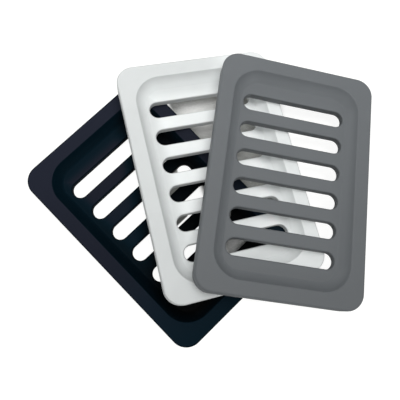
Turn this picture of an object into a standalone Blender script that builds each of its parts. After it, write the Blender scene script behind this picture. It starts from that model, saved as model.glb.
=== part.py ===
"""Set of three draining soap dishes, stacked in a fan.

Each dish is one silicone moulding: a rounded tray with a flat rim, a recess with a sloping, slightly
hollow wall, and six long drain slots through its flat floor.
The charcoal dish lies flat. The white dish leans on its long edge and on the table. The grey dish lies
flat on the white one. Metres, +Z up, with the origin under the middle of the whole set.
"""
from math import asin, atan2, hypot, radians

import bmesh
import bpy
from mathutils import Matrix, Vector

MM = 0.001

# Outer form of one dish
DISH_LENGTH = 124 * MM
DISH_WIDTH = 83 * MM
DISH_HEIGHT = 10 * MM
CORNER_RADIUS = 9 * MM
SIDE_DRAFT = 0.2 * MM  # the foot stands in from the rim by this all round
RIM_EDGE_RADIUS = 1.1 * MM
SOFT_EDGE = 0.6 * MM  # rounding of every other moulded edge

# Recess that holds the soap
RIM_WIDTH = 7.8 * MM
RECESS_DEPTH = 5.5 * MM
RECESS_CORNER_RADIUS = 13.5 * MM
WALL_WIDTH = 4.9 * MM  # the wall slopes down to the floor over this
WALL_FULLNESS = 0.33  # 0.25 is a straight slope, 0.5 a quarter circle

# Drain slots through the floor, which is as thick as the height leaves under the recess
SLOT_COUNT = 6
SLOT_PITCH = 15.4 * MM
SLOT_WIDTH = 8.5 * MM
SLOT_LENGTH = 55 * MM

# How the dishes lie on each other, each seen square on to the face that it lies on
WHITE_SHIFT_X = 34.2 * MM
WHITE_SHIFT_Y = -5.9 * MM
WHITE_TURN = radians(-30.4)
GREY_SHIFT_X = 31.4 * MM
GREY_SHIFT_Y = -14.0 * MM
GREY_TURN = radians(-21.8)
RESTING_GAP = 0.3 * MM  # left between dishes that touch

# Fineness of the round forms
CORNER_STEPS = 8
WALL_STEPS = 5
SLOT_END_STEPS = 6
RIM_EDGE_STEPS = 3
SOFT_EDGE_STEPS = 2
SHARP_ANGLE = radians(40)
WELD = 0.01 * MM
CUT_THROUGH = 4 * MM  # how far a cutter runs past the face that it opens

# Name, base colour and roughness of each dish
CHARCOAL = ("charcoal_dish", (0.017, 0.02, 0.032), 0.55)
WHITE = ("white_dish", (0.71, 0.735, 0.73), 0.5)
GREY = ("grey_dish", (0.15, 0.162, 0.171), 0.55)


def clear_scene():
    for old in list(bpy.data.objects):
        bpy.data.objects.remove(old)


def new_collection(name):
    collection = bpy.data.collections.new(name)
    bpy.context.scene.collection.children.link(collection)
    return collection


def ring_edges(shape, height):
    """Edges that lie at one height."""
    return [edge for edge in shape.edges if all(abs(v.co.z - height) < WELD for v in edge.verts)]


def rounded_slab(width, length, low, high, radius, steps):
    """Box from low to high whose four upright edges are rounded, as a bmesh."""
    shape = bmesh.new()
    size = Matrix.Diagonal((width, length, high - low, 1))
    bmesh.ops.create_cube(shape, size=1, matrix=Matrix.Translation((0, 0, (low + high) / 2)) @ size)
    upright = [e for e in shape.edges if abs(e.verts[0].co.z - e.verts[1].co.z) > WELD]
    reach = min(radius, min(width, length) / 2 - WELD / 4)
    bmesh.ops.bevel(shape, geom=upright, offset=reach, segments=steps, profile=0.5, affect="EDGES")
    bmesh.ops.remove_doubles(shape, verts=shape.verts, dist=WELD)
    return shape


def round_ring(shape, height, width, steps, fullness=0.5):
    """Round the edge that runs all round a slab at one height."""
    bmesh.ops.bevel(
        shape,
        geom=ring_edges(shape, height),
        offset=width,
        segments=steps,
        profile=fullness,
        affect="EDGES",
    )


def as_object(name, shape, collection):
    mesh = bpy.data.meshes.new(name)
    shape.to_mesh(mesh)
    shape.free()
    item = bpy.data.objects.new(name, mesh)
    collection.objects.link(item)
    return item


def hide_cutter(item):
    item.hide_render = True
    item.display_type = "WIRE"


def recess_cutter(collection):
    """Space of the recess, open above the rim and narrowing to its floor."""
    floor = DISH_HEIGHT - RECESS_DEPTH
    shape = rounded_slab(
        DISH_WIDTH - 2 * RIM_WIDTH,
        DISH_LENGTH - 2 * RIM_WIDTH,
        floor,
        DISH_HEIGHT + CUT_THROUGH,
        RECESS_CORNER_RADIUS,
        CORNER_STEPS,
    )
    round_ring(shape, floor, WALL_WIDTH, WALL_STEPS, WALL_FULLNESS)
    item = as_object("recess_cutter", shape, collection)
    hide_cutter(item)
    return item


def slot_cutter(collection):
    """Row of round-ended slots across the dish."""
    low = -CUT_THROUGH
    high = DISH_HEIGHT + CUT_THROUGH
    shape = rounded_slab(SLOT_LENGTH, SLOT_WIDTH, low, high, SLOT_WIDTH / 2, SLOT_END_STEPS)
    item = as_object("slot_cutter", shape, collection)
    item.location.y = -(SLOT_COUNT - 1) / 2 * SLOT_PITCH
    row = item.modifiers.new("row", "ARRAY")
    row.count = SLOT_COUNT
    row.use_relative_offset = False
    row.use_constant_offset = True
    row.constant_offset_displace = (0, SLOT_PITCH, 0)
    hide_cutter(item)
    return item


def dish_blank(collection):
    """The dish before it is hollowed: a rounded slab with a drafted side and a soft rim edge."""
    shape = rounded_slab(DISH_WIDTH, DISH_LENGTH, 0, DISH_HEIGHT, CORNER_RADIUS, CORNER_STEPS)
    foot = [v for v in shape.verts if v.co.z < WELD]
    draft = Vector((1 - 2 * SIDE_DRAFT / DISH_WIDTH, 1 - 2 * SIDE_DRAFT / DISH_LENGTH, 1))
    bmesh.ops.scale(shape, vec=draft, verts=foot)
    round_ring(shape, DISH_HEIGHT, RIM_EDGE_RADIUS, RIM_EDGE_STEPS)
    return as_object("dish_pattern", shape, collection)


def dish_mesh(cutters):
    """The finished moulding, which the three dishes share."""
    pattern = dish_blank(cutters)
    for cutter in (recess_cutter(cutters), slot_cutter(cutters)):
        cut = pattern.modifiers.new(cutter.name, "BOOLEAN")
        cut.operation = "DIFFERENCE"
        cut.solver = "EXACT"
        cut.object = cutter
    soften = pattern.modifiers.new("soft_edges", "BEVEL")
    soften.limit_method = "ANGLE"
    soften.angle_limit = SHARP_ANGLE
    soften.width = SOFT_EDGE
    soften.segments = SOFT_EDGE_STEPS
    bpy.context.view_layer.update()
    mesh = bpy.data.meshes.new_from_object(pattern.evaluated_get(bpy.context.evaluated_depsgraph_get()))
    mesh.name = "dish"
    mesh.shade_smooth()
    mesh.set_sharp_from_angle(angle=SHARP_ANGLE)
    bpy.data.objects.remove(pattern)
    return mesh


def silicone(name, colour, roughness):
    material = bpy.data.materials.new(name)
    material.use_nodes = True
    shader = material.node_tree.nodes["Principled BSDF"]
    shader.inputs["Base Color"].default_value = (*colour, 1)
    shader.inputs["Roughness"].default_value = roughness
    shader.inputs["Metallic"].default_value = 0
    return material


def place_dish(look, mesh, place, collection):
    name, colour, roughness = look
    dish = bpy.data.objects.new(name, mesh)
    collection.objects.link(dish)
    dish.material_slots[0].link = "OBJECT"
    dish.material_slots[0].material = silicone(name, colour, roughness)
    dish.matrix_world = place
    return dish


def white_place():
    """Turn and place of the white dish.

    It is laid flat on the charcoal dish, then tipped about that dish's long edge until the lowest point of
    its far corner meets the table. The rounded long edge touches its foot plane from below, and its own
    far corner is rounded by SOFT_EDGE, so the tilt solves rise + span * cos(tilt) = reach * sin(tilt).
    """
    turn = Matrix.Rotation(WHITE_TURN, 4, "Z")
    flat = Matrix.Translation((WHITE_SHIFT_X, WHITE_SHIFT_Y, 0)) @ turn
    corner = flat @ Vector((DISH_WIDTH / 2 - CORNER_RADIUS, DISH_LENGTH / 2 - CORNER_RADIUS, 0))
    far_x = corner.x + CORNER_RADIUS - SIDE_DRAFT - SOFT_EDGE
    edge_x = DISH_WIDTH / 2 - RIM_EDGE_RADIUS
    edge_z = DISH_HEIGHT - RIM_EDGE_RADIUS
    reach = far_x - edge_x
    rise = edge_z - SOFT_EDGE
    span = RIM_EDGE_RADIUS + RESTING_GAP + SOFT_EDGE
    tilt = atan2(span, reach) + asin(rise / hypot(reach, span))
    pivot = Matrix.Translation((edge_x, 0, edge_z))
    lifted = Matrix.Translation((-edge_x, 0, RIM_EDGE_RADIUS + RESTING_GAP))
    return pivot @ Matrix.Rotation(tilt, 4, "Y") @ lifted @ flat


def grey_place(white):
    """Turn and place of the grey dish, flat on the white dish's rim."""
    shift = Matrix.Translation((GREY_SHIFT_X, GREY_SHIFT_Y, DISH_HEIGHT + RESTING_GAP))
    return white @ shift @ Matrix.Rotation(GREY_TURN, 4, "Z")


def centre_on_origin(dishes):
    """Move the set so that the origin lies under the middle of its box."""
    points = [dish.matrix_world @ v.co for dish in dishes for v in dish.data.vertices]
    low = Vector([min(p[axis] for p in points) for axis in range(3)])
    high = Vector([max(p[axis] for p in points) for axis in range(3)])
    middle = Vector(((low.x + high.x) / 2, (low.y + high.y) / 2, low.z))
    for dish in dishes:
        dish.matrix_world = Matrix.Translation(-middle) @ dish.matrix_world


def main():
    clear_scene()
    parts = new_collection("soap_dish_set")
    cutters = new_collection("cutters")
    mesh = dish_mesh(cutters)
    mesh.materials.append(None)
    white = white_place()
    dishes = [
        place_dish(CHARCOAL, mesh, Matrix.Identity(4), parts),
        place_dish(WHITE, mesh, white, parts),
        place_dish(GREY, mesh, grey_place(white), parts),
    ]
    centre_on_origin(dishes)


main()
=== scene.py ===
"""Looks of the set of three draining soap dishes.

Every dish is one silicone moulding, made by one geometry tree: a wall that runs round a rounded rectangle
through the corners of the dish's section, and a row of drain slots let into its floor. Each dish lies
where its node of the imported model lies. Sizes are in metres.
"""
from math import cos, pi, prod, radians, sin
from typing import NamedTuple

import bpy
import numpy as np
from bpy.props import (
    FloatProperty,
    FloatVectorProperty,
    IntProperty,
    PointerProperty,
)
from mathutils import Matrix, Vector


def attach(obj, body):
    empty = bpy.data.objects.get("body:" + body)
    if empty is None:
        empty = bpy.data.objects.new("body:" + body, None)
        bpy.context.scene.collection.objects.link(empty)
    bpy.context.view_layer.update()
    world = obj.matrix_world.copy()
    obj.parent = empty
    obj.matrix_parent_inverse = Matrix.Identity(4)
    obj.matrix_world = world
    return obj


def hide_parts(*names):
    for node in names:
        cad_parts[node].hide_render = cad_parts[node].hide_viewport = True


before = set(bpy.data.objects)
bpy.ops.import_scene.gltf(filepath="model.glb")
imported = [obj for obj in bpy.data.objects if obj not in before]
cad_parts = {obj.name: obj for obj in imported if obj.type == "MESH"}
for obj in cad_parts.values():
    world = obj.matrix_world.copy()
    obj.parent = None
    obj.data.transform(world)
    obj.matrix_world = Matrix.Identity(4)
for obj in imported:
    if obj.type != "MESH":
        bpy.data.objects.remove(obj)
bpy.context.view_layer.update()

bl_info = {
    "name": "Draining soap dishes",
    "version": (1, 0, 0),
    "blender": (4, 5, 0),
    "location": "View3D > Sidebar > Soap dishes",
    "description": "Three silicone soap dishes, stacked in a fan on a white table",
    "category": "Object",
}

MM = 0.001

# Fineness of the moulding
SECTION_STEPS = 10  # of each rounded corner of the section
CORNER_STEPS = 16  # of each corner of the dish, seen from above
SLOT_END_STEPS = 12  # of each quarter of a slot's end
HOLD = 0.1 * MM  # width of the narrow ring that keeps a flat face flat beside a rounding
MERGE = 0.002 * MM
DISH_TREE = "draining_dish"
QUARTER = pi / 2

# The ways that the outline of the section can run, as (outwards, upwards)
OUT = (1, 0)
IN = (-1, 0)
UP = (0, 1)
DOWN = (0, -1)


class Value:
    """A number in a node tree. Sums on it add Math nodes to the tree."""

    def __init__(self, graph, socket):
        self.graph = graph
        self.socket = socket

    def out(self, name):
        """Another output of the node that this one comes from."""
        return Value(self.graph, self.socket.node.outputs[name])

    def math(self, operation, *terms):
        sockets = dict(enumerate((self, *terms)))
        return self.graph.node("ShaderNodeMath", {"operation": operation}, sockets)

    def turned(self, operation, first):
        sockets = {0: first, 1: self}
        return self.graph.node("ShaderNodeMath", {"operation": operation}, sockets)

    def __add__(self, other):
        return self.math("ADD", other)

    def __radd__(self, other):
        return self.turned("ADD", other)

    def __sub__(self, other):
        return self.math("SUBTRACT", other)

    def __rsub__(self, other):
        return self.turned("SUBTRACT", other)

    def __mul__(self, other):
        return self.math("MULTIPLY", other)

    def __rmul__(self, other):
        return self.turned("MULTIPLY", other)

    def __truediv__(self, other):
        return self.math("DIVIDE", other)

    def __rtruediv__(self, other):
        return self.turned("DIVIDE", other)

    def __neg__(self):
        return self.turned("SUBTRACT", 0)

    def __lt__(self, other):
        return self.math("LESS_THAN", other)

    def __gt__(self, other):
        return self.math("GREATER_THAN", other)

    def __abs__(self):
        return self.math("ABSOLUTE")

    def clamped(self):
        """The number held between 0 and 1."""
        return self.graph.node("ShaderNodeClamp", sockets={"Value": self})

    def __floordiv__(self, count):
        """How many whole times count goes into a whole number."""
        return ((self + 0.5) / count).math("FLOOR")


class Graph:
    """A node tree that is built from Python."""

    def __init__(self, tree):
        self.tree = tree

    def feed(self, socket, given):
        """Link a socket or set it. A list is linked as one, and a colour is opaque."""
        if isinstance(given, list):
            for each in given:
                self.feed(socket, each)
        elif isinstance(given, Value):
            self.tree.links.new(given.socket, socket)
        elif socket.type == "RGBA":
            socket.default_value = (*given, 1)
        else:
            socket.default_value = given

    def node(self, kind, settings=None, sockets=None, output=0):
        """Add a node and return one of its outputs."""
        node = self.tree.nodes.new(kind)
        for name, setting in (settings or {}).items():
            if name == "items":
                while len(node.index_switch_items) < setting:
                    node.index_switch_items.new()
            else:
                setattr(node, name, setting)
        for name, given in (sockets or {}).items():
            self.feed(node.inputs[name], given)
        return Value(self, node.outputs[output]) if node.outputs else node

    def pick(self, index, choices):
        """The number at one place in a list."""
        sockets = {"Index": index}
        sockets.update({str(place): choice for place, choice in enumerate(choices)})
        settings = {"data_type": "FLOAT", "items": len(choices)}
        return self.node("GeometryNodeIndexSwitch", settings, sockets)

    def rise(self, value, start, end):
        """Smooth share that goes from 0 to 1 as a value goes from start to end."""
        return self.node(
            "ShaderNodeMapRange",
            {"interpolation_type": "SMOOTHSTEP"},
            {"Value": value, "From Min": start, "From Max": end},
        )

    def split(self, vector):
        """The three numbers of a vector."""
        x = self.node("ShaderNodeSeparateXYZ", sockets={0: vector})
        return x, x.out("Y"), x.out("Z")

    def mix(self, share, first, second):
        """Colour between two others."""
        settings = {"data_type": "RGBA", "clamp_factor": True}
        return self.node("ShaderNodeMix", settings, {0: share, 6: first, 7: second}, output=2)

    def blend(self, share, first, second):
        """Surface between two others."""
        return self.node("ShaderNodeMixShader", sockets={0: share, 1: first, 2: second})


class Bend(NamedTuple):
    """One rounded corner of the dish's section."""

    outline: tuple  # half width, half length and corner radius of the rounded rectangle that it follows
    height: object
    rounding: object
    way_in: tuple
    way_out: tuple
    hold_in: float = HOLD
    hold_out: float = HOLD
    start: object = 0  # share of the quarter turn at which the bend starts
    end: object = 1


def rounded_wall(graph, section, corner_steps):
    """Wall that runs round a rounded rectangle, through the bends of its section.

    A bend has a ring at each end of its steps, and one more before and after them that holds its
    neighbours flat. A corner has columns in the same way.
    """
    rings_each = SECTION_STEPS + 3
    rings = len(section) * rings_each
    columns_each = corner_steps + 3
    columns = 4 * columns_each + 1
    grid = graph.node("GeometryNodeMeshGrid", sockets={"Vertices X": columns, "Vertices Y": rings})
    index = graph.node("GeometryNodeInputIndex")
    column = index // rings
    ring = index - column * rings

    bend = ring // rings_each
    step = ring - bend * rings_each - 1
    start = graph.pick(bend, [each.start for each in section])
    end = graph.pick(bend, [each.end for each in section])
    angle = (start + (step / SECTION_STEPS).clamped() * (end - start)) * QUARTER
    wide, long, radius = (graph.pick(bend, [each.outline[part] for each in section]) for part in range(3))
    height = graph.pick(bend, [each.height for each in section])
    rounding = graph.pick(bend, [each.rounding for each in section])
    in_out, in_up = (graph.pick(bend, [each.way_in[axis] for each in section]) for axis in range(2))
    out_out, out_up = (graph.pick(bend, [each.way_out[axis] for each in section]) for axis in range(2))
    hold_in = graph.pick(bend, [each.hold_in for each in section])
    hold_out = graph.pick(bend, [each.hold_out for each in section])
    along_in = rounding * (angle.math("SINE") - 1) - hold_in * (step < 0)
    along_out = rounding * (1 - angle.math("COSINE")) + hold_out * (step > SECTION_STEPS)
    grown = along_in * in_out + along_out * out_out
    z = height + along_in * in_up + along_out * out_up
    radius = radius + grown
    straight_x = wide + grown - radius
    straight_y = long + grown - radius

    side = column // columns_each
    step = column - side * columns_each - 1
    turn = (side + (step / corner_steps).clamped()) * QUARTER
    middle = (side + 0.5) * QUARTER
    slide = (step > corner_steps) - (step < 0)
    x = (
        middle.math("COSINE").math("SIGN") * straight_x
        + turn.math("COSINE") * radius
        - turn.math("SINE") * slide * straight_x.math("MINIMUM", HOLD)
    )
    y = (
        middle.math("SINE").math("SIGN") * straight_y
        + turn.math("SINE") * radius
        + turn.math("COSINE") * slide * straight_y.math("MINIMUM", HOLD)
    )
    place = graph.node("ShaderNodeCombineXYZ", sockets={"X": x, "Y": y, "Z": z})
    wall = graph.node("GeometryNodeSetPosition", sockets={"Geometry": grid, "Position": place})
    return graph.node("GeometryNodeMergeByDistance", sockets={"Geometry": wall, "Distance": MERGE})


def flat_fill(graph, walls, above, middle, height):
    """Flat face at one height that closes the open rings of the walls above or below the middle."""
    open_edge = graph.node("GeometryNodeInputMeshEdgeNeighbors", output="Face Count") < 1.5
    spot = graph.node("GeometryNodeInputPosition")
    level = graph.split(spot)[2]
    chosen = open_edge * ((level > middle) if above else (level < middle))
    rings = graph.node("GeometryNodeMeshToCurve", sockets={"Mesh": walls, "Selection": chosen})
    face = graph.node("GeometryNodeFillCurve", {"mode": "TRIANGLES"}, {"Curve": rings})
    lift = graph.node("ShaderNodeCombineXYZ", sockets={"Z": height})
    return graph.node("GeometryNodeTransform", sockets={"Geometry": face, "Translation": lift})


def dish_tree():
    """Geometry tree of one dish, lying flat with its foot at height 0."""
    tree = bpy.data.node_groups.new(DISH_TREE, "GeometryNodeTree")
    tree.interface.new_socket("Dish", in_out="OUTPUT", socket_type="NodeSocketGeometry")
    graph = Graph(tree)
    for name in DISH_SIZE_NAMES:
        given = DishSizes.bl_rna.properties[name]
        kind = "NodeSocketInt" if given.type == "INT" else "NodeSocketFloat"
        tree.interface.new_socket(given.name, in_out="INPUT", socket_type=kind)
    tree.interface.new_socket("Silicone", in_out="INPUT", socket_type="NodeSocketMaterial")
    size = graph.node("NodeGroupInput")

    half_width = size.out("Width") / 2
    half_length = size.out("Length") / 2
    height = size.out("Height")
    corner = size.out("Corner radius")
    draft = size.out("Side draft")
    soft = size.out("Soft edge")
    rim = size.out("Rim width")
    recess_corner = size.out("Recess corner radius")
    floor = height - size.out("Recess depth")
    slot_half_width = size.out("Slot width") / 2
    slot_half_length = size.out("Slot length") / 2
    count = size.out("Slot count")
    pitch = size.out("Slot pitch")
    first_slot = (count - 1) * pitch / 2
    foot = (half_width - draft, half_length - draft, corner - draft)
    outside = (half_width, half_length, corner)
    lip = size.out("Slot lip radius")
    edge = size.out("Recess edge radius")
    toe = size.out("Wall toe radius")
    steepest = size.out("Wall slope at the rim")
    flattest = size.out("Wall slope at the floor")
    recess = (half_width - rim, half_length - rim, recess_corner)

    # The wall is an arc from its steepest slope to its flattest, tangent to a small rounding at each end
    drop = steepest.math("COSINE")
    rise = flattest.math("COSINE")
    hollow_wall = (size.out("Recess depth") - edge * (1 - drop) - toe * (1 - rise)) / (rise - drop)
    wall_out = (edge + hollow_wall) * (1 - steepest.math("SINE"))
    toe_in = (hollow_wall - toe) * (1 - flattest.math("SINE"))
    wall_line = tuple(part + wall_out for part in recess)
    toe_line = tuple(part - toe_in for part in wall_line)
    wall_base = height - (edge + hollow_wall) * (1 - drop)
    turned = steepest / QUARTER
    left = flattest / QUARTER
    slot = (slot_half_length, slot_half_width, slot_half_width)

    shell = rounded_wall(
        graph,
        [
            Bend(foot, 0, soft, OUT, UP),
            Bend(outside, height, size.out("Rim edge radius"), UP, IN),
            Bend(recess, height, edge, IN, DOWN, hold_out=0, end=turned),
            Bend(
                wall_line,
                wall_base,
                hollow_wall,
                DOWN,
                IN,
                hold_in=0,
                hold_out=0,
                start=1 - turned,
                end=1 - left,
            ),
            Bend(toe_line, floor, toe, DOWN, IN, hold_in=0, start=1 - left),
        ],
        CORNER_STEPS,
    )
    lips = rounded_wall(
        graph,
        [Bend(slot, floor, lip, IN, DOWN), Bend(slot, 0, soft, DOWN, OUT)],
        SLOT_END_STEPS,
    )
    start = graph.node("ShaderNodeCombineXYZ", sockets={"Y": -first_slot})
    stride = graph.node("ShaderNodeCombineXYZ", sockets={"Y": pitch})
    row = graph.node(
        "GeometryNodeMeshLine", sockets={"Count": count, "Start Location": start, "Offset": stride}
    )
    slots = graph.node("GeometryNodeInstanceOnPoints", sockets={"Points": row, "Instance": lips})
    slots = graph.node("GeometryNodeRealizeInstances", sockets={"Geometry": slots})
    walls = graph.node("GeometryNodeJoinGeometry", sockets={"Geometry": [shell, slots]})
    middle = floor / 2
    top = flat_fill(graph, walls, True, middle, floor)
    bottom = flat_fill(graph, walls, False, middle, 0)
    bottom = graph.node("GeometryNodeFlipFaces", sockets={"Mesh": bottom})
    dish = graph.node("GeometryNodeJoinGeometry", sockets={"Geometry": [walls, top, bottom]})
    dish = graph.node("GeometryNodeMergeByDistance", sockets={"Geometry": dish, "Distance": MERGE})
    dish = graph.node("GeometryNodeSetShadeSmooth", sockets={"Geometry": dish})
    dish = graph.node("GeometryNodeRealizeInstances", sockets={"Geometry": dish})
    dish = graph.node(
        "GeometryNodeSetMaterial", sockets={"Geometry": dish, "Material": size.out("Silicone")}
    )
    graph.node("NodeGroupOutput", sockets={"Dish": dish})
    return tree


def place_in_model(node_name):
    """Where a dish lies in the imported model, as a matrix from the flat dish to its place.

    A dish is thinnest along its own upward axis and longest along its own Y, so the spread of its surface
    gives its axes, and its own box gives its middle and its foot.
    """
    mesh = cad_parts[node_name].data
    mesh.calc_loop_triangles()
    points = np.empty(len(mesh.vertices) * 3)
    mesh.vertices.foreach_get("co", points)
    points = points.reshape(-1, 3)
    corners = np.empty(len(mesh.loop_triangles) * 3, int)
    mesh.loop_triangles.foreach_get("vertices", corners)
    faces = points[corners.reshape(-1, 3)]
    areas = np.linalg.norm(np.cross(faces[:, 1] - faces[:, 0], faces[:, 2] - faces[:, 0]), axis=1) / 2
    sums = faces.sum(axis=1)
    centre = (areas[:, None] * sums / 3).sum(axis=0) / areas.sum()
    spread = np.einsum("f,fvi,fvj->ij", areas, faces, faces) + np.einsum("f,fi,fj->ij", areas, sums, sums)
    spread = spread / 12 / areas.sum() - np.outer(centre, centre)
    up, across, along = np.linalg.eigh(spread)[1].T
    up = up if up[2] > 0 else -up
    along = along if along[1] > 0 else -along
    across = np.cross(along, up)
    axes = np.stack([across, along, up], axis=1)
    local = points @ axes
    low = local.min(axis=0)
    high = local.max(axis=0)
    origin = axes @ [(low[0] + high[0]) / 2, (low[1] + high[1]) / 2, low[2]]
    place = Matrix(axes.tolist()).to_4x4()
    place.translation = Vector(origin)
    return place, Vector(high - low)


FLAT_DISH = place_in_model("charcoal_dish")[1]


def length_property(name, description, default):
    return FloatProperty(name=name, description=description, default=default, unit="LENGTH", precision=5)


def angle_property(name, description, degrees):
    return FloatProperty(name=name, description=description, default=radians(degrees), unit="ROTATION")


class DishSizes(bpy.types.PropertyGroup):
    """Sizes of one dish."""

    width: length_property("Width", "Across the dish", FLAT_DISH.x)
    length: length_property("Length", "Along the dish", FLAT_DISH.y)
    height: length_property("Height", "From the table to the rim", FLAT_DISH.z)
    corner_radius: length_property("Corner radius", "Outer corners seen from above", 9 * MM)
    side_draft: length_property("Side draft", "How far the foot stands in from the rim", 0.2 * MM)
    rim_edge_radius: length_property("Rim edge radius", "Rounding of the outer edge", 1.1 * MM)
    soft_edge: length_property("Soft edge", "Rounding of the other edges", 0.6 * MM)
    rim_width: length_property("Rim width", "Flat rim round the recess", 7.8 * MM)
    recess_edge_radius: length_property("Recess edge radius", "Rounding from rim to recess", 0.8 * MM)
    recess_depth: length_property("Recess depth", "From the rim to the floor", 5.5 * MM)
    recess_corner_radius: length_property("Recess corner radius", "Seen from above", 13.5 * MM)
    wall_slope_at_the_rim: angle_property("Wall slope at the rim", "Slope of the recess's wall", 64)
    wall_slope_at_the_floor: angle_property("Wall slope at the floor", "Slope of the recess's wall", 34)
    wall_toe_radius: length_property("Wall toe radius", "Rounding from the wall to the floor", 1.5 * MM)
    slot_count: IntProperty(name="Slot count", description="Drain slots", default=6, min=1)
    slot_pitch: length_property("Slot pitch", "From one drain slot to the next", 15.4 * MM)
    slot_width: length_property("Slot width", "Across one drain slot", 8.5 * MM)
    slot_length: length_property("Slot length", "From end to end of one drain slot", 55 * MM)
    slot_lip_radius: length_property("Slot lip radius", "Rounding of the slots' upper edges", 0.9 * MM)


DISH_SIZE_NAMES = list(DishSizes.__annotations__)


def colour_property(name, description, default):
    return FloatVectorProperty(
        name=name, description=description, default=default, subtype="COLOR", min=0, max=1
    )


class DishLooks(bpy.types.PropertyGroup):
    """Colours of the three dishes."""

    charcoal: colour_property("Charcoal", "Silicone of the lowest dish", (0.0168, 0.0198, 0.032))
    white: colour_property("White", "Silicone of the middle dish", (0.71, 0.735, 0.73))
    grey: colour_property("Grey", "Silicone of the top dish", (0.15, 0.162, 0.171))


def share_property(name, description, default):
    return FloatProperty(
        name=name, description=description, default=default, min=0, soft_max=1, subtype="FACTOR"
    )


class StageSettings(bpy.types.PropertyGroup):
    """Lights and camera."""

    camera_place: FloatVectorProperty(
        name="Camera",
        description="Where the camera stands",
        default=(-0.04744, -0.01223, 0.24989),
        subtype="TRANSLATION",
        unit="LENGTH",
    )
    camera_turn: FloatVectorProperty(
        name="Camera turn",
        description="Turn of the camera, which looks down at first",
        default=(radians(7.0252), radians(-3.7468), radians(-44.1786)),
        subtype="EULER",
        unit="ROTATION",
    )
    camera_shift: FloatVectorProperty(
        name="Camera shift",
        description="Shift of the picture, as shares of the sensor's width",
        default=(-0.06397, 0.00459),
        size=2,
        precision=5,
    )
    lens: FloatProperty(
        name="Lens", description="Focal length for a 36 mm sensor", default=41.33, unit="CAMERA"
    )
    key: FloatProperty(
        name="Key light", description="Power of the soft box", default=0.15, min=0, unit="POWER"
    )
    sky: share_property("Sky", "Light from all round, as a share of full light", 0.2)
    overhead: share_property("Overhead light", "Share of full light", 0.42)
    fill: share_property("Side lights", "Share of their usual light", 1)


class Finish(NamedTuple):
    """How one dish's silicone looks, and the light and shade painted into its colour over the dish.

    A tone is a share of the dish's colour, painted lighter or darker as light and shade, and is 1 at the
    far end of its rim.
    """

    near_rim: float  # painted shade: tone of the near end of the rim
    far_recess: float  # painted tone of the far end of the recess: painted light above 1, painted shade below
    near_recess: float  # and of its near end, painted in the same way
    wall: float  # factor for the sloping wall: painted shade below 1, painted light above 1
    foot: float  # painted shade for the floor beside the wall
    slot: float  # painted shade for the walls of the slots
    roughness: float
    gloss: float
    translucency: float
    cover_turn: float = 0  # turn of the long edge of the dish on top, in degrees; the part it covers gets a painted tone
    cover_start: float = 0  # where the covered part starts, from the middle and square to that edge
    cover_end: float = MM  # where it is wholly covered
    covered_rim: float = 1  # factor for the rim there: painted light above 1, painted shade below 1
    covered_recess: float = 1  # and for the recess, painted in the same way
    shaded_colour: tuple | None = None  # colour of the painted shade, that the darkest tones turn to


# Real roughness, gloss and translucency of each dish, with the light and shade painted into its colour
FINISHES_AND_PAINTED_SHADE = {
    "charcoal": Finish(
        near_rim=0.42,
        far_recess=0.95,
        near_recess=0.02,
        wall=0.35,
        foot=0.5,
        slot=0.8,
        roughness=0.55,
        gloss=0.03,
        translucency=0,
        cover_turn=-30.4,
        cover_start=-18 * MM,
        cover_end=-6 * MM,
        covered_recess=0.15,
        shaded_colour=(0.003, 0.022, 0.038),
    ),
    "white": Finish(
        near_rim=0.87,
        far_recess=1.26,
        near_recess=1.17,
        wall=0.87,
        foot=0.78,
        slot=0.6,
        roughness=0.5,
        gloss=0.3,
        translucency=0.25,
        cover_start=4 * MM,
        cover_end=26 * MM,
        covered_rim=1.27,
        covered_recess=1.22,
    ),
    "grey": Finish(
        near_rim=0.75,
        far_recess=0.99,
        near_recess=0.78,
        wall=1.1,
        foot=0.97,
        slot=0.6,
        roughness=0.55,
        gloss=0.3,
        translucency=0,
    ),
}

# Upward parts of a face's normal at which the painted tone of the sloping wall (SLOPING) and the painted
# shade of the slots' walls (STEEP) start and are whole
SLOPING = (0.97, 0.75)
STEEP = (0.95, 0.4)

# Where the painted shade of the floor beside the wall starts and is whole, counted outwards from the
# recess's upper edge
FOOT = (-13 * MM, -5 * MM)

# Painted tones up to which the colour is the painted shade's colour, and from which it is the plain one
PLAIN_TONES = (0.35, 0.75)

CLOUD = {"Scale": 55, "Detail": 3, "Roughness": 0.5}
CLOUD_IN_COLOUR = 0.12
CLOUD_IN_ROUGHNESS = 0.08
GRAIN = {"Scale": 2600, "Detail": 2, "Roughness": 0.6}
GRAIN_DEPTH = 0.05 * MM
GRAIN_STRENGTH = 0.25
LIGHT_REACH = 3 * MM  # how far light spreads in the translucent silicone


def new_material(name):
    """Empty material and its graph."""
    material = bpy.data.materials.new(name)
    material.use_nodes = True
    material.node_tree.nodes.clear()
    return material, Graph(material.node_tree)


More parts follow.
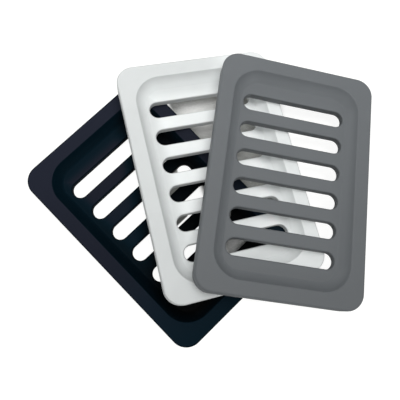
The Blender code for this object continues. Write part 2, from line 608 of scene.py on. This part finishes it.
def silicone_tone(graph, on_dish, sizes, finish_and_shade):
    """Light and shade painted into the silicone's colour at a place on the flat dish, as a tone."""
    x, y, z = graph.split(on_dish)
    inside = ((sizes.height - z) / sizes.recess_depth).clamped()
    # Painted shade darkens the near end; under the dish on top the white dish gets painted light and the
    # charcoal dish painted shade
    nearer = 0.5 - y / sizes.length
    turn = radians(finish_and_shade.cover_turn)
    covered = graph.rise(cos(turn) * x + sin(turn) * y, finish_and_shade.cover_start, finish_and_shade.cover_end)
    rim = (1 + nearer * (finish_and_shade.near_rim - 1)) * (1 + covered * (finish_and_shade.covered_rim - 1))
    recess = finish_and_shade.far_recess + nearer * (finish_and_shade.near_recess - finish_and_shade.far_recess)
    recess = recess * (1 + covered * (finish_and_shade.covered_recess - 1))

    # Painted shade on the sloping wall, on the floor beside the wall and on the slots' walls; the grey
    # dish's wall gets painted light
    facing = graph.node("ShaderNodeNewGeometry", output="Normal")
    facing_up = graph.split(facing)[2]
    sloping = graph.rise(facing_up, *SLOPING)
    past_side = abs(x) - (sizes.width / 2 - sizes.rim_width)
    past_end = abs(y) - (sizes.length / 2 - sizes.rim_width)
    beside_wall = inside * graph.rise(past_side.math("MAXIMUM", past_end), *FOOT) * (1 - sloping)
    slots_wide = sizes.slot_length / 2 + sizes.soft_edge
    slots_long = (sizes.slot_count - 1) / 2 * sizes.slot_pitch + sizes.slot_width / 2 + sizes.soft_edge
    in_slot = graph.rise(abs(facing_up), *STEEP) * (abs(x) < slots_wide) * (abs(y) < slots_long)

    # The painted tone, as a share of the dish's colour
    tone = rim + inside * (recess - rim)
    tone = tone * (1 - sloping * (1 - finish_and_shade.wall)) * (1 - beside_wall * (1 - finish_and_shade.foot))
    return tone * (1 - in_slot * (1 - finish_and_shade.slot))


def silicone(name, colour, place, sizes, finish_and_shade):
    """Matte moulded silicone: a little cloudy in colour, with a fine grain, and with light and shade
    painted into its colour.
    """
    material, graph = new_material(name)
    spot = graph.node("ShaderNodeTexCoord", output="Object")
    flat = place.inverted()
    on_dish = graph.node(
        "ShaderNodeMapping",
        {"vector_type": "POINT"},
        {"Vector": spot, "Location": flat.translation, "Rotation": flat.to_euler()},
    )
    tone = silicone_tone(graph, on_dish, sizes, finish_and_shade)
    cloud = graph.node("ShaderNodeTexNoise", sockets={"Vector": spot, **CLOUD}) - 0.5
    grain = graph.node("ShaderNodeTexNoise", sockets={"Vector": spot, **GRAIN})
    pigment = tuple(colour)
    # Painted shade: the darkest painted tones turn to the shaded colour
    if finish_and_shade.shaded_colour:
        pigment = graph.mix(graph.rise(tone, *PLAIN_TONES), finish_and_shade.shaded_colour, pigment)
    # Base colour: the colour times the painted tone, with a random cloud in tone
    shade = graph.node(
        "ShaderNodeVectorMath",
        {"operation": "SCALE"},
        {0: pigment, "Scale": tone * (1 + CLOUD_IN_COLOUR * cloud)},
    )
    bump = graph.node(
        "ShaderNodeBump", sockets={"Strength": GRAIN_STRENGTH, "Distance": GRAIN_DEPTH, "Height": grain}
    )
    shader = graph.node(
        "ShaderNodeBsdfPrincipled",
        sockets={
            "Base Color": shade,
            "Roughness": finish_and_shade.roughness + CLOUD_IN_ROUGHNESS * cloud,
            "Specular IOR Level": finish_and_shade.gloss,
            "Subsurface Weight": finish_and_shade.translucency,
            "Subsurface Radius": (1, 1, 1),
            "Subsurface Scale": LIGHT_REACH,
            "Normal": bump,
        },
    )
    graph.node("ShaderNodeOutputMaterial", sockets={"Surface": shader})
    return material


def mould_dish(context, colour_name):
    """One dish as a plain mesh in its place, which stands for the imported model's node."""
    sizes = context.scene.dish_sizes
    place = place_in_model(f"{colour_name}_dish")[0]
    tree = bpy.data.node_groups.get(DISH_TREE) or dish_tree()
    blank = bpy.data.objects.new("blank", bpy.data.meshes.new("blank"))
    context.scene.collection.objects.link(blank)
    mould = blank.modifiers.new("mould", "NODES")
    mould.node_group = tree
    *size_sockets, silicone_socket = (
        socket for socket in tree.interface.items_tree if socket.in_out == "INPUT"
    )
    for name, socket in zip(DISH_SIZE_NAMES, size_sockets):
        mould[socket.identifier] = getattr(sizes, name)
    colour = getattr(context.scene.dish_looks, colour_name)
    mould[silicone_socket.identifier] = silicone(
        f"{colour_name}_silicone", colour, place, sizes, FINISHES_AND_PAINTED_SHADE[colour_name]
    )
    context.view_layer.update()
    mesh = bpy.data.meshes.new_from_object(blank.evaluated_get(context.evaluated_depsgraph_get()))
    bpy.data.objects.remove(blank)
    mesh.name = f"{colour_name}_moulding"
    mesh.transform(place)
    moulding = bpy.data.objects.new(mesh.name, mesh)
    context.scene.collection.objects.link(moulding)
    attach(moulding, colour_name)
    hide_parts(f"{colour_name}_dish")


class SOAPDISHES_OT_charcoal(bpy.types.Operator):
    """Mould the charcoal dish, which lies flat on the table"""

    bl_idname = "soap_dishes.charcoal"
    bl_label = "Charcoal dish"

    def execute(self, context):
        mould_dish(context, "charcoal")
        return {"FINISHED"}


class SOAPDISHES_OT_white(bpy.types.Operator):
    """Mould the white dish, which leans on the charcoal one"""

    bl_idname = "soap_dishes.white"
    bl_label = "White dish"

    def execute(self, context):
        mould_dish(context, "white")
        return {"FINISHED"}


class SOAPDISHES_OT_grey(bpy.types.Operator):
    """Mould the grey dish, which lies on the white one"""

    bl_idname = "soap_dishes.grey"
    bl_label = "Grey dish"

    def execute(self, context):
        mould_dish(context, "grey")
        return {"FINISHED"}


class Ramp(NamedTuple):
    """Share that goes from 0 to 1 between two distances in one direction across the table."""

    x: float
    y: float
    start: float
    end: float

    def at(self, graph, x, y):
        return graph.rise(self.x * x + self.y * y, self.start, self.end)


TABLE_REACH = 1.5  # from its middle to each side
TABLE_COLOUR = (0.6, 0.6, 0.6)
# Colours of the painted shade on the table, where the camera sees it grey
SHADE_COLOUR = (0.3, 0.305, 0.285)
DEEP_SHADE_COLOUR = (0.1, 0.105, 0.1)
TABLE_GLOW = (0.86, 0.86, 0.86)  # added to the lit shade colour, it makes the open table white
NOOK_REACH = 50 * MM
OPEN_PLACES = (0.15, 0.34)  # how open a place is where its white starts and is whole; less open nooks get painted shade
# Ramps where painted light makes the table white to the camera: past the raised side of the fan, and past
# the side where the charcoal dish lies flat
PAST_RAISED_SIDE = Ramp(0.72, -0.69, 16 * MM, 26 * MM)
PAST_FLAT_SIDE = Ramp(-0.92, 0.39, 20.5 * MM, 24 * MM)
# Ramp from the deeper painted shade at the front to the lighter painted shade at the back
TOWARDS_BACK = Ramp(0.69, 0.72, -36 * MM, 10 * MM)
RIM_SHADE = (  # sides of the band where a shadow of the white dish's raised rim is painted
    Ramp(0.86, -0.51, -50 * MM, -46 * MM),
    Ramp(0.86, -0.51, -32.5 * MM, -34 * MM),
    Ramp(0, 1, 6.8 * MM, 7.6 * MM),
    Ramp(0, 1, 34 * MM, 30 * MM),
)


def table_material():
    """White table that keeps the dishes' shadow.

    The camera sees it grey only where shade is painted: in the nooks under the dishes, found by ambient
    occlusion and ramps across the table, and in a painted shadow of the white dish's rim.
    """
    material, graph = new_material("white_table")
    openness = graph.node(
        "ShaderNodeAmbientOcclusion", {"samples": 16}, {"Distance": NOOK_REACH}, output="AO"
    )
    spot = graph.node("ShaderNodeTexCoord", output="Object")
    x, y, _ = graph.split(spot)
    # Painted light makes the table white where it is open or past the raised side and the flat side
    bright = graph.rise(openness, *OPEN_PLACES)
    for side in (PAST_RAISED_SIDE, PAST_FLAT_SIDE):
        bright = bright.math("MAXIMUM", side.at(graph, x, y))
    # Painted shadow of the white dish's raised rim takes the white away
    bright = bright * (1 - prod(side.at(graph, x, y) for side in RIM_SHADE))

    matte = graph.node("ShaderNodeBsdfDiffuse", sockets={"Color": TABLE_COLOUR})
    deep_shade = graph.node("ShaderNodeBsdfDiffuse", sockets={"Color": DEEP_SHADE_COLOUR})
    shade = graph.node("ShaderNodeBsdfDiffuse", sockets={"Color": SHADE_COLOUR})
    glow = graph.node("ShaderNodeEmission", sockets={"Color": TABLE_GLOW})
    # Painted shade: a darker table, deeper towards the front
    dark = graph.blend(TOWARDS_BACK.at(graph, x, y), deep_shade, shade)
    lit = graph.node("ShaderNodeAddShader", sockets={0: shade, 1: glow})
    rays = graph.node("ShaderNodeLightPath")
    surface = graph.blend(rays.out("Is Camera Ray"), matte, graph.blend(bright, dark, lit))
    graph.node("ShaderNodeOutputMaterial", sockets={"Surface": surface})
    return material


def lay_table(context):
    mesh = bpy.data.meshes.new("table")
    corners = [(x * TABLE_REACH, y * TABLE_REACH, 0) for x, y in ((-1, -1), (1, -1), (1, 1), (-1, 1))]
    mesh.from_pydata(corners, [], [(0, 1, 2, 3)])
    mesh.materials.append(table_material())
    table = bpy.data.objects.new("table", mesh)
    context.scene.collection.objects.link(table)


def light_world(context, strength):
    """Plain light from all round, with white behind the table."""
    world = bpy.data.worlds.new("studio")
    context.scene.world = world
    world.use_nodes = True
    world.node_tree.nodes.clear()
    graph = Graph(world.node_tree)
    rays = graph.node("ShaderNodeLightPath")
    plain = graph.node("ShaderNodeBackground", sockets={"Color": (1, 1, 1), "Strength": strength})
    white = graph.node("ShaderNodeBackground", sockets={"Color": (1, 1, 1), "Strength": 1})
    surface = graph.blend(rays.out("Is Camera Ray"), plain, white)
    graph.node("ShaderNodeOutputWorld", sockets={"Surface": surface})


SOFT_BOX_PLACE = (0.06, 0.11, 0.25)
SOFT_BOX_AIM = (0.02, 0, 0)
SOFT_BOX_SIZE = 0.15

# Even lights: where each shines to, and its share of full light
OVERHEAD = (-0.24, 0.05, -1)
SIDE_LIGHTS = {
    "front_fill": ((0, 0.9, -0.42), 0.2),
    "back_fill": ((0, -0.9, -0.42), 0.17),
    "right_fill": ((-0.9, 0, -0.42), 0.05),
    "left_fill": ((0.9, 0, -0.42), 0.15),
}
SOFTNESS = radians(30)  # width of the even lights, seen from the dishes

SENSOR_WIDTH = 36  # in mm, as the lens is


def hang_lamp(context, name, kind, towards):
    """Lamp that shines along a direction, as its data and its object."""
    lamp = bpy.data.lights.new(name, kind)
    item = bpy.data.objects.new(name, lamp)
    item.rotation_euler = Vector(towards).to_track_quat("-Z", "Y").to_euler()
    context.scene.collection.objects.link(item)
    return lamp, item


def hang_soft_box(context, power):
    towards = Vector(SOFT_BOX_AIM) - Vector(SOFT_BOX_PLACE)
    lamp, item = hang_lamp(context, "soft_box", "AREA", towards)
    lamp.size = SOFT_BOX_SIZE
    lamp.energy = power
    item.location = SOFT_BOX_PLACE
    item.visible_camera = False


def hang_even_light(context, name, towards, share, shadow=False):
    """Light that at a share of 1 would show a face square on to it in its full colour."""
    lamp, _ = hang_lamp(context, name, "SUN", towards)
    lamp.energy = share * pi
    lamp.angle = SOFTNESS
    lamp.use_shadow = shadow


def set_camera(context, settings):
    view = bpy.data.cameras.new("camera")
    view.lens = settings.lens
    view.sensor_width = SENSOR_WIDTH
    view.shift_x, view.shift_y = settings.camera_shift
    view.clip_start = 10 * MM
    camera = bpy.data.objects.new("camera", view)
    camera.location = settings.camera_place
    camera.rotation_euler = settings.camera_turn
    context.scene.collection.objects.link(camera)
    context.scene.camera = camera


class SOAPDISHES_OT_stage(bpy.types.Operator):
    """Lay the white table, and set the soft light and the camera"""

    bl_idname = "soap_dishes.stage"
    bl_label = "Table, light and camera"

    def execute(self, context):
        settings = context.scene.stage_settings
        lay_table(context)
        light_world(context, settings.sky)
        hang_soft_box(context, settings.key)
        hang_even_light(context, "overhead", OVERHEAD, settings.overhead, shadow=True)
        for name, (towards, share) in SIDE_LIGHTS.items():
            hang_even_light(context, name, towards, share * settings.fill)
        set_camera(context, settings)
        context.scene.view_settings.view_transform = "Standard"
        return {"FINISHED"}


class SOAPDISHES_PT_panel(bpy.types.Panel):
    """Buttons for the pieces, with the sizes and colours that they use"""

    bl_label = "Soap dishes"
    bl_idname = "SOAPDISHES_PT_panel"
    bl_space_type = "VIEW_3D"
    bl_region_type = "UI"
    bl_category = "Soap dishes"

    def draw(self, context):
        column = self.layout.column()
        for operator in OPERATORS:
            column.operator(operator.bl_idname)
        for group in (context.scene.dish_looks, context.scene.dish_sizes, context.scene.stage_settings):
            for name in type(group).__annotations__:
                column.prop(group, name)


OPERATORS = (
    SOAPDISHES_OT_charcoal,
    SOAPDISHES_OT_white,
    SOAPDISHES_OT_grey,
    SOAPDISHES_OT_stage,
)
CLASSES = (DishSizes, DishLooks, StageSettings, *OPERATORS, SOAPDISHES_PT_panel)


def register():
    for each in CLASSES:
        bpy.utils.register_class(each)
    bpy.types.Scene.dish_sizes = PointerProperty(type=DishSizes)
    bpy.types.Scene.dish_looks = PointerProperty(type=DishLooks)
    bpy.types.Scene.stage_settings = PointerProperty(type=StageSettings)


def unregister():
    del bpy.types.Scene.stage_settings
    del bpy.types.Scene.dish_looks
    del bpy.types.Scene.dish_sizes
    for each in reversed(CLASSES):
        bpy.utils.unregister_class(each)


def main():
    register()
    bpy.ops.soap_dishes.charcoal()
    bpy.ops.soap_dishes.white()
    bpy.ops.soap_dishes.grey()
    bpy.ops.soap_dishes.stage()


if __name__ == "__main__":
    main()
